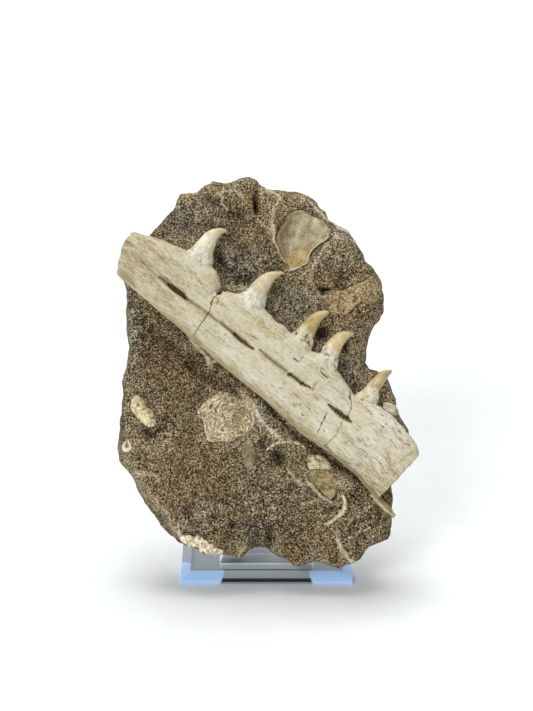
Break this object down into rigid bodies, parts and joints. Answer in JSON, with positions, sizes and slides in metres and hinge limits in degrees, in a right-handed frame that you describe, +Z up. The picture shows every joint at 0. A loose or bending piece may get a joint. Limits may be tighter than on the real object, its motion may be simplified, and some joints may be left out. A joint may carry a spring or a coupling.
{
  "type": "fossil jaw specimen on a display easel",
  "caption": "Hooked-tooth fossil jaw bone lying diagonally on its block of sandy rock, leaning back on a clear acrylic strip easel with a bevelled square base.",
  "frame": {"origin": "centre of the underside of the easel's square base", "axes": "+Z up; -Y towards the viewer, out of the fossil's face; +X to the viewer's right"},
  "size_m": [0.1317, 0.0858, 0.1702],
  "materials": {
    "sandy_rock": "rough grainy sandstone",
    "fossil_bone": "dry fibrous bone",
    "tooth_enamel": "satin enamel",
    "porous_bone": "rough porous bone",
    "fossil_shell": "dull chalky shell",
    "clear_acrylic": "polished clear acrylic"
  },
  "bodies": {
    "root": {"rock_matrix": "sandy_rock", "jaw_bone": "fossil_bone", "jaw_splinter": "fossil_bone", "tooth_1": "tooth_enamel", "tooth_2": "tooth_enamel", "tooth_3": "tooth_enamel", "tooth_4": "tooth_enamel", "tooth_5": "tooth_enamel", "bone_patch": "porous_bone", "bone_lump": "porous_bone", "bone_disc": "porous_bone", "bone_bead": "porous_bone", "bone_chip": "porous_bone", "shell_oval": "porous_bone", "shell_flake": "porous_bone", "fish_rib": "fossil_shell", "shell_rim": "fossil_shell", "shell_edge": "fossil_shell", "bone_crust": "fossil_shell", "shell_plate": "fossil_shell", "shell_fragment": "fossil_shell", "stand_base": "clear_acrylic", "stand_strip": "clear_acrylic"}
  },
  "joints": []
}
